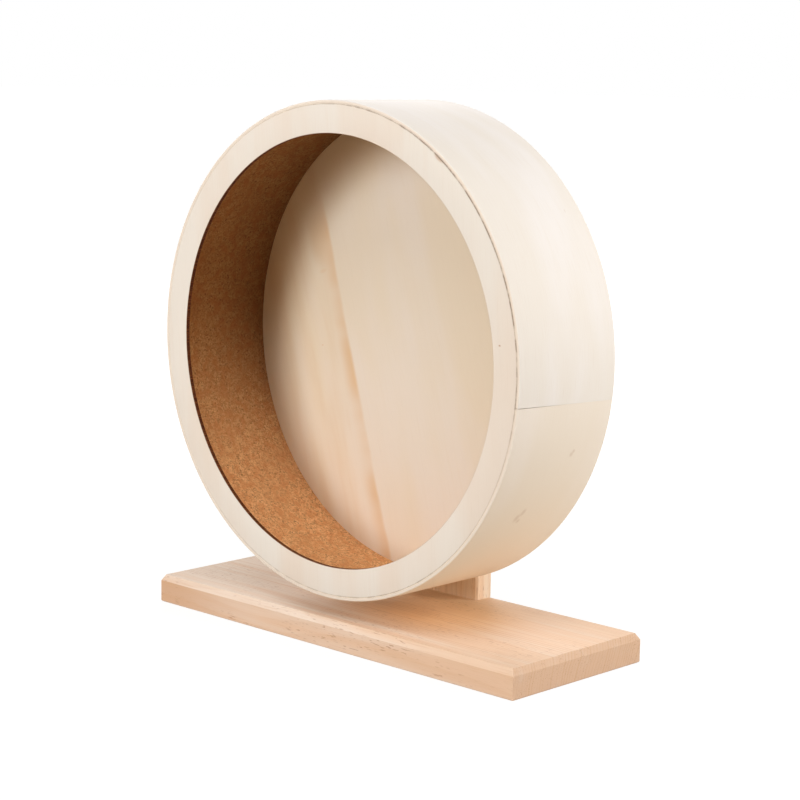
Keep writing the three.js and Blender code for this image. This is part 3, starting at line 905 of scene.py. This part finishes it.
# %% Hub
HUB_EASE = 0.6
HEAD_POCKET = 10.3  # radius
HEAD_SEAT = 4.8  # depth of the pocket
NECK_ROOM = 5.75  # radius that the bolt's square neck needs
NECK_LENGTH = 4.0
BORE = 4.05
HUB_PLY = 1.43
HUB_STEPS = 180
HUB_LEAN_DEG = -62.0

hub_out, hub_front, hub_back = turned_size("hub_block")


def hub_finish():
    new_finish("hub_plywood")
    x, y, z, _ = from_axle()
    face, fibre = veneer(*with_lean(x, z, HUB_LEAN_DEG), y)
    burnt, stripes = burnt_edge(x, y, z)
    ply = maths("PINGPONG", minus(y, hub_front), HUB_PLY)
    burnt = blend(ramp(ply, 0.3, 1.1, 0, 0.6), burnt, SINGED)
    return seal_cut_sheet(face, fibre, burnt, stripes, 0.05)


neck_seat = hub_front + HEAD_SEAT
neck_end = neck_seat + NECK_LENGTH
hub_corners = [(HEAD_POCKET, hub_front, 0), (hub_out, hub_front, 0.1)]
hub_corners += [(hub_out, hub_back, HUB_EASE), (BORE, hub_back, 0), (BORE, neck_end, 0)]
hub_corners += [(NECK_ROOM, neck_end, 0), (NECK_ROOM, neck_seat, 0), (HEAD_POCKET, neck_seat, 0)]
hub = turned("hub_block_plywood", eased(hub_corners), HUB_STEPS)
dress(hub, hub_finish(), "wheel", "plywood", "hub_block")

# %% [markdown]
# ## Metal finishes
#
# Zinc plating is bright but not mirror-like: it has a fine cloudy crystal that varies the
# roughness, and turned faces carry rings from the tool. The bearings' rings are ground, which
# leaves finer rings and a cleaner gloss. Both use one recipe with other numbers.

# %% Zinc and bearing steel
ZINC = colour(206, 208, 208)
ZINC_BLUE = colour(188, 194, 200)
STEEL = colour(196, 198, 202)
STEEL_DARK = colour(170, 173, 178)
NYLON = colour(226, 224, 214)
NYLON_DULL = colour(212, 209, 198)


def metal_finish(name, light, dark, roughness, ring_pitch, depth):
    new_finish(name)
    _, y, _, reach = from_axle()
    crystal = specks(place_in_mm(), 0.9, 4)
    rings = specks(bring(times(reach, 1 / ring_pitch), times(y, 0.4), 0.0), 1.0, 2)
    tone = blend(ramp(crystal, 0.35, 0.65), light, dark)
    rough = ramp(crystal, 0.3, 0.7, *roughness)
    return seal(tone, rough, rings, depth, metal=1.0)


zinc = metal_finish(
    "zinc_plated_steel", ZINC, ZINC_BLUE, roughness=(0.24, 0.4), ring_pitch=0.25, depth=0.012
)
steel = metal_finish(
    "ground_bearing_steel", STEEL, STEEL_DARK, roughness=(0.16, 0.26), ring_pitch=0.12, depth=0.006
)


def nylon_finish():
    new_finish("nylon")
    cloud = specks(place_in_mm(), 1.6, 2)
    tone = blend(cloud, NYLON, NYLON_DULL)
    return seal(tone, 0.38, cloud, 0.02, inside=0.1)


print("metals:", zinc.name, steel.name)

# %% [markdown]
# ## Coach bolt
#
# The axle is a coach bolt: a domed head, a square neck and a round shank, with a rolled thread
# where it comes out of the lock nut. All of it can be swept in one go if the radius may depend
# on the angle: the neck follows a square, and the thread is a groove whose place along the bolt
# moves one pitch with each turn.

# %% Axle bolt
BOLT_RADIUS = 4.0
HEAD_RADIUS = 10.0
HEAD_HEIGHT = 4.5
THREAD_PITCH = 1.25
THREAD_DEPTH = 0.65
THREAD_LENGTH = 6.0
THREAD_ROWS_PER_PITCH = 10
BOLT_STEPS = 64
DOME_ROWS = 12

_, bolt_front, bolt_back = turned_size("axle_bolt")
seat_y = bolt_front + HEAD_HEIGHT
neck_end = seat_y + NECK_LENGTH
thread_from = bolt_back - THREAD_LENGTH
ball_radius = (HEAD_RADIUS**2 + HEAD_HEIGHT**2) / (2 * HEAD_HEIGHT)
dome = math.asin(HEAD_RADIUS / ball_radius)

bolt_outline = []
for k in range(DOME_ROWS + 1):
    turn = dome * k / DOME_ROWS
    at = (ball_radius * math.sin(turn), bolt_front + ball_radius * (1 - math.cos(turn)))
    bolt_outline.append(at)
bolt_outline += [(HEAD_RADIUS - 0.3, seat_y), (BOLT_RADIUS, seat_y)]
bolt_outline += [(BOLT_RADIUS, neck_end - 0.5), (BOLT_RADIUS, neck_end)]
thread_rows = round(THREAD_LENGTH / THREAD_PITCH * THREAD_ROWS_PER_PITCH)
for k in range(thread_rows):
    bolt_outline.append((BOLT_RADIUS, thread_from + THREAD_LENGTH * k / thread_rows))
bolt_outline += [(BOLT_RADIUS - 0.7, bolt_back), (0, bolt_back)]


def bolt_shape(angle, r, y):
    if r == BOLT_RADIUS and seat_y <= y < neck_end:
        off = (angle + 45) % 90 - 45
        r = BOLT_RADIUS / math.cos(math.radians(off))
    elif r == BOLT_RADIUS and y >= thread_from:
        turn = (y / THREAD_PITCH - angle / 360) % 1
        groove = max(0, 1 - abs(2 * turn - 1) * 1.25) * THREAD_DEPTH
        start = min(1, (y - thread_from) / THREAD_PITCH)
        end_bevel = max(0, y - (bolt_back - 0.8)) * 0.8
        r -= max(groove * start, end_bevel)
    return r, y


bolt = turned("axle_coach_bolt", bolt_outline, BOLT_STEPS, reshape=bolt_shape, sharp_deg=40)
dress(bolt, zinc, "wheel", "zinc_steel", "axle_bolt")

# %% [markdown]
# ## Nuts, spacers and the nylon ring
#
# A hexagon is also a radius that depends on the angle. A nut's corners are turned off by a
# cone, which draws six shallow arcs. So the point at the edge of a face moves back as far as it
# sticks out past that cone.

# %% Nuts
ACROSS_FLATS = 13.0
NUT_CONE = math.tan(math.radians(30))
NUT_FACE = 0.94 * ACROSS_FLATS / 2  # radius of the flat round face
COLLAR_RADIUS = 5.8
COLLAR_LENGTH = 2.0
NUT_STEPS = 96
HEX = 99.0  # stands in an outline for the hexagon's edge


def nut(name, front, back, collar=()):
    """A nut from its front to its back face, with a collar outline behind it if it has one."""

    def hexed(angle, r, y):
        if r == HEX:
            r = ACROSS_FLATS / 2 / math.cos(math.radians(angle % 60 - 30))
            past_cone = (r - NUT_FACE) * NUT_CONE
            y += past_cone if y == front else -past_cone
        return r, y

    outline = [(BORE, front + 0.5), (BORE + 0.5, front), (NUT_FACE, front), (HEX, front)]
    outline += [(HEX, back), (NUT_FACE, back)]
    outline += collar or [(BORE + 0.5, back), (BORE, back - 0.5)]
    return turned(name, outline, NUT_STEPS, reshape=hexed, sharp_deg=28)


_, thin_front, thin_back = turned_size("hub_nut")
thin_nut = nut("hub_thin_nut", thin_front, thin_back)
dress(thin_nut, zinc, "wheel", "zinc_steel", "hub_nut")

_, lock_front, lock_back = turned_size("lock_nut")
hex_back = lock_back - COLLAR_LENGTH
collar = [(COLLAR_RADIUS + 0.15, hex_back), (COLLAR_RADIUS, hex_back + 0.15)]
collar += [(COLLAR_RADIUS, lock_back - 0.8), (COLLAR_RADIUS - 0.25, lock_back - 0.25)]
collar += [(COLLAR_RADIUS - 0.6, lock_back), (COLLAR_RADIUS - 0.9, lock_back - 0.1)]
collar += [(COLLAR_RADIUS - 0.9, hex_back + 0.2), (BORE, hex_back + 0.2)]
lock_nut = nut("axle_lock_nut", lock_front, hex_back, collar)
dress(lock_nut, zinc, "wheel", "zinc_steel", "lock_nut")

nylon_in, nylon_out = BOLT_RADIUS + 0.02, COLLAR_RADIUS - 0.95
nylon_front, nylon_back = hex_back + 0.25, lock_back - 0.35
nylon_corners = [(nylon_in, nylon_front, 0), (nylon_out, nylon_front, 0)]
nylon_corners += [(nylon_out, nylon_back, 0.1), (nylon_in, nylon_back, 0.2)]
ring_of_nylon = turned("lock_nut_nylon_ring", eased(nylon_corners), NUT_STEPS)
dress(ring_of_nylon, nylon_finish(), "wheel", "zinc_steel")

# %% Spacers
SPACER_EASE = 0.25
SPACER_STEPS = 96

for place in ("front_spacer", "inner_ring_spacer", "rear_spacer"):
    tube = ring(place + "_zinc", BORE, place, SPACER_EASE, SPACER_STEPS)
    dress(tube, zinc, "wheel", "zinc_steel", place)

# %% [markdown]
# ## Ball bearings
#
# Two deep-groove bearings, 8 x 22 x 7 mm, sit in the upright. From behind one sees the rear
# one: a ground outer ring, a pressed shield with a shallow step near its rim, and the spacer
# over its inner ring. The grooves and the balls are hidden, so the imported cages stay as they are
# and only get the steel finish.

# %% Bearings
SHOULDER_OUT = 8.95
SHIELD_SEAT = 9.7
SHIELD_DEPTH = 0.85
SHIELD_BORE = 6.4
SHIELD_STEP = 0.15
BEARING_STEPS = 120
RACE_EASE = 0.4

for place in ("front", "rear"):
    out, front, back = turned_size(f"{place}_bearing_outer_ring")
    seat_front, seat_back = front + SHIELD_DEPTH, back - SHIELD_DEPTH
    corners = [(SHIELD_SEAT, front, 0.1), (out, front, RACE_EASE), (out, back, RACE_EASE)]
    corners += [(SHIELD_SEAT, back, 0.1), (SHIELD_SEAT, seat_back, 0)]
    corners += [(SHOULDER_OUT, seat_back, 0), (SHOULDER_OUT, seat_front, 0)]
    corners += [(SHIELD_SEAT, seat_front, 0)]
    outer = turned(f"{place}_bearing_outer", eased(corners), BEARING_STEPS)
    dress(outer, steel, "stand", "bearing_steel", f"{place}_bearing_outer_ring")
    node = f"{place}_bearing_inner_ring"
    inner = ring(f"{place}_bearing_inner", BORE, node, 0.3, SPACER_STEPS)
    dress(inner, steel, "wheel", "bearing_steel", node)
    for side, outwards in (("front", -1), ("rear", 1)):
        node = f"{place}_bearing_{side}_shield"
        rim, y0, y1 = turned_size(node)
        seen, hidden = (y0, y1) if outwards < 0 else (y1, y0)
        step = SHIELD_STEP * outwards
        plate = [(SHIELD_BORE, seen - step), (rim - 1.1, seen - step), (rim - 0.8, seen)]
        plate += [(rim - 0.15, seen), (rim, seen - step), (rim, hidden), (SHIELD_BORE, hidden)]
        shield = turned(f"{place}_bearing_{side}_shield_plate", plate, BEARING_STEPS, sharp_deg=50)
        dress(shield, zinc, "stand", "bearing_steel", node)
    paint(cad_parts[f"{place}_bearing_ball_cage"], steel)

# %% [markdown]
# ## Solid boards
#
# Base and upright are sawn from pale pinkish timber and sanded. A board is a slice of a trunk,
# so its figure is rings round a pith that lies outside the board, wavering as they run along
# it. They show as long lines on a face and as arcs on a sawn end, and the two meet at the edge
# by themselves. Short dark flecks run with the grain. Where the drum's shade falls on a board, a
# patch is painted warmer and darker: painted shade. Sawn ends are rougher and darker than planed
# faces, and the long sawn faces are darker, more so towards the left end.

# %% Board timber
BASE_TONES = colour(241, 223, 207), colour(237, 207, 181)  # pale and rosy
UPRIGHT_TONES = colour(250, 232, 210), colour(249, 219, 188)
BOARD_LINE = colour(210, 166, 126)
BOARD_FLECK = colour(164, 112, 80)
BOARD_END = colour(214, 176, 146)
BOARD_EDGE = colour(208, 164, 128)
# painted shade, warm as the shade under the drum
BOARD_PAINTED_SHADE = colour(246, 200, 146)
PAINTED_SHADE_STRENGTH = 0.8
BOARD_LIGHT_DRIFT = 0.0008  # per mm along the grain: painted light, paler towards the low end, which lightens the base's left end
BEND_BY = 14.0  # mm by which the rings waver
# how fast each pattern changes per mm: along the grain and in the two directions across it
BOARD_BEND = (0.0045, 0.014, 0.014)
BOARD_CLOUD = (0.005, 0.08, 0.08)
BOARD_FIBRE = (0.04, 1.5, 1.5)
BOARD_FLECKS = (0.16, 1.1, 1.1)
FLECKED_PATCH = (0.012, 0.05, 0.05)


def board_finish(
    name, lengthwise, pith, ring_gap, shade_patch=None, figure=0.42, sawn_edge="y", tones=BASE_TONES
):
    """Timber whose grain runs along x or z, round a pith at (across, across) in mm.

    shade_patch is the middle of a patch of painted shade, warmer and darker, if there is one, and
    its three radii.
    """
    new_finish(name)
    x, y, z = apart(place_in_mm())
    long, a, b = (x, y, z) if lengthwise == "x" else (z, x, y)
    inside = bring(long, a, b)
    slow = vectors("MULTIPLY", inside, BOARD_BEND)
    bend = put("TexNoise", {"Vector": slow, "Scale": 1.0, "Detail": 2.0}, out=1)
    bend_a, bend_b, _ = apart(bend)
    off_a = plus(minus(a, pith[0]), times(bend_a, BEND_BY))
    off_b = plus(minus(b, pith[1]), times(bend_b, BEND_BY))
    trunk = length(bring(off_a, off_b, 0.0))
    years = times(trunk, 1 / ring_gap)
    year = maths("FRACT", years)
    late = times(ramp(year, 0.3, 0.9), ramp(year, 1.0, 0.92))
    count = bring(maths("FLOOR", years), 0.5, 0.5)
    late = times(late, ramp(specks(count, 1.7, 0), 0.3, 0.7, 0.15, 1.0))
    cloud = grained(inside, BOARD_CLOUD, 3)
    fibre = grained(inside, BOARD_FIBRE, 3)
    fleck = grained(inside, BOARD_FLECKS, 1)
    patch = grained(inside, FLECKED_PATCH, 1)
    sawn = ramp(facing(lengthwise), 0.6, 0.9)
    # painted light: the board is paler towards the low end of its grain, the base's left end
    cloud = plus(cloud, times(long, BOARD_LIGHT_DRIFT))
    tone = blend(ramp(cloud, 0.34, 0.64), *tones)
    # painted shade: a warmer, darker patch where the drum's shade falls
    if shade_patch:
        centre, radii = shade_patch
        core = length(vectors("DIVIDE", vectors("SUBTRACT", place_in_mm(), centre), radii))
        tone = blend(ramp(core, 1.0, 0.3, 0, PAINTED_SHADE_STRENGTH), tone, BOARD_PAINTED_SHADE)
    # the long sawn faces are darker, more so towards the left end
    edge = ramp(facing(sawn_edge), 0.8, 0.98)
    edge = times(edge, ramp(long, -60.0, -165.0, 0.4, 0.85))
    tone = blend(edge, tone, BOARD_EDGE)
    tone = blend(times(sawn, 0.6), tone, BOARD_END)
    tone = blend(times(late, figure), tone, BOARD_LINE)
    tone = blend(ramp(fibre, 0.5, 0.8, 0, 0.4), tone, BOARD_LINE)
    spot = times(ramp(fleck, 0.62, 0.72), ramp(patch, 0.42, 0.6))
    tone = blend(times(spot, 0.5), tone, BOARD_FLECK)
    height = plus(times(fibre, 0.7), times(late, 0.3))
    rough = ramp(sawn, 0.0, 1.0, 0.62, 0.75)
    return seal(tone, rough, height, 0.06, gloss=RAW_WOOD_GLOSS)


print("board timber ready")

# %% [markdown]
# ## Easing a sawn board
#
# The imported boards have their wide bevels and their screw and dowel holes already. What they
# lack is the touch of sandpaper: a copy of the board is welded, its flat facets are dissolved
# into whole faces, and a bevel modifier rounds every edge that turns by more than 30 degrees.

# %% Boards
SANDED = 0.4
SAME_CORNER = 1e-6  # metres


def sanded_board(name, node):
    board = add(name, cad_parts[node].data.copy())
    work = bmesh.new()
    work.from_mesh(board.data)
    bmesh.ops.remove_doubles(work, verts=work.verts, dist=SAME_CORNER)
    bmesh.ops.dissolve_limit(work, angle_limit=math.radians(1), verts=work.verts, edges=work.edges)
    work.to_mesh(board.data)
    work.free()
    bevel = board.modifiers.new("sanding", "BEVEL")
    bevel.width = SANDED * MM
    bevel.segments = 3
    bevel.limit_method = "ANGLE"
    bevel.angle_limit = math.radians(30)
    bevel.harden_normals = True
    graph = bpy.context.evaluated_depsgraph_get()
    sanded = bpy.data.meshes.new_from_object(board.evaluated_get(graph))
    board.modifiers.clear()
    board.data = sanded
    return board


base = sanded_board("base_board_timber", "base_board")
# painted shade on the base under the drum: middle and radii in mm
base_shade_patch = ((34.0, 10.0, 20.0), (92.0, 66.0, 60.0))
base_timber = board_finish("base_timber", "x", (230.0, -70.0), 2.6, base_shade_patch)
dress(base, base_timber, "stand", "solid_wood", "base_board")
upright = sanded_board("upright_board_timber", "upright_board")
# painted shade on the upright's foot, under the drum
upright_shade_patch = ((0.0, 44.0, 20.0), (70.0, 8.0, 60.0))
upright_timber = board_finish(
    "upright_timber", "z", (-160.0, -60.0), 4.0, upright_shade_patch, 0.28, "z", UPRIGHT_TONES
)
dress(upright, upright_timber, "stand", "solid_wood", "upright_board")

# %% [markdown]
# ## Screws and dowels
#
# Two countersunk screws come up through the base board, and two beech dowels keep the upright
# from twisting. Only the screw heads show, from below. The cross recess is pressed into a fine
# polar grid on the head: a point sinks if it lies inside one of the two arms.

# %% Screws
HEAD_TOP_RADIUS = 4.4
HEAD_DEPTH = 2.6
SHANK_RADIUS = 2.25
TIP_LENGTH = 5.0
RECESS_REACH = 2.5
RECESS_HALF_WIDTH = 0.55
RECESS_DEPTH = 1.6
SCREW_STEPS = 64
RECESS_ROWS = 12


def screw(name, node):
    low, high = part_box(node)
    x0, y0 = (low.x + high.x) / 2 / MM, (low.y + high.y) / 2 / MM
    bottom, top = low.z / MM, high.z / MM
    outline = [(RECESS_REACH * k / RECESS_ROWS, bottom) for k in range(RECESS_ROWS + 2)]
    outline += [(HEAD_TOP_RADIUS - 0.15, bottom), (HEAD_TOP_RADIUS, bottom + 0.15)]
    outline += [(SHANK_RADIUS, bottom + HEAD_DEPTH), (SHANK_RADIUS, top - TIP_LENGTH), (0, top)]
    points, faces, width, steps = [], [], len(outline), SCREW_STEPS
    for i in range(steps):
        turn = 2 * math.pi * (i + 0.5) / steps
        for r, z in outline:
            x, y = r * math.cos(turn), r * math.sin(turn)
            arm, side = max(abs(x), abs(y)), min(abs(x), abs(y))
            if z == bottom and side < RECESS_HALF_WIDTH and arm < RECESS_REACH:
                z += RECESS_DEPTH * (1 - arm / RECESS_REACH * 0.7)
            points.append((x0 + x, y0 + y, z))
    for i in range(steps):
        for j in range(width - 1):
            a, b = i * width + j, i * width + j + 1
            faces.append((a, b, (b + width) % (steps * width), (a + width) % (steps * width)))
    return finish_mesh(name, points, faces, 30)


for side in ("left", "right"):
    wood_screw = screw(f"countersunk_screw_{side}", f"upright_screw_{side}")
    dress(wood_screw, zinc, "stand", "zinc_steel", f"upright_screw_{side}")

beech = board_finish("beech_dowel_timber", "z", (40.0, 60.0), 1.8)
for side in ("left", "right"):
    paint(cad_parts[f"upright_dowel_{side}"], beech)
print("dowels keep their packed shape")
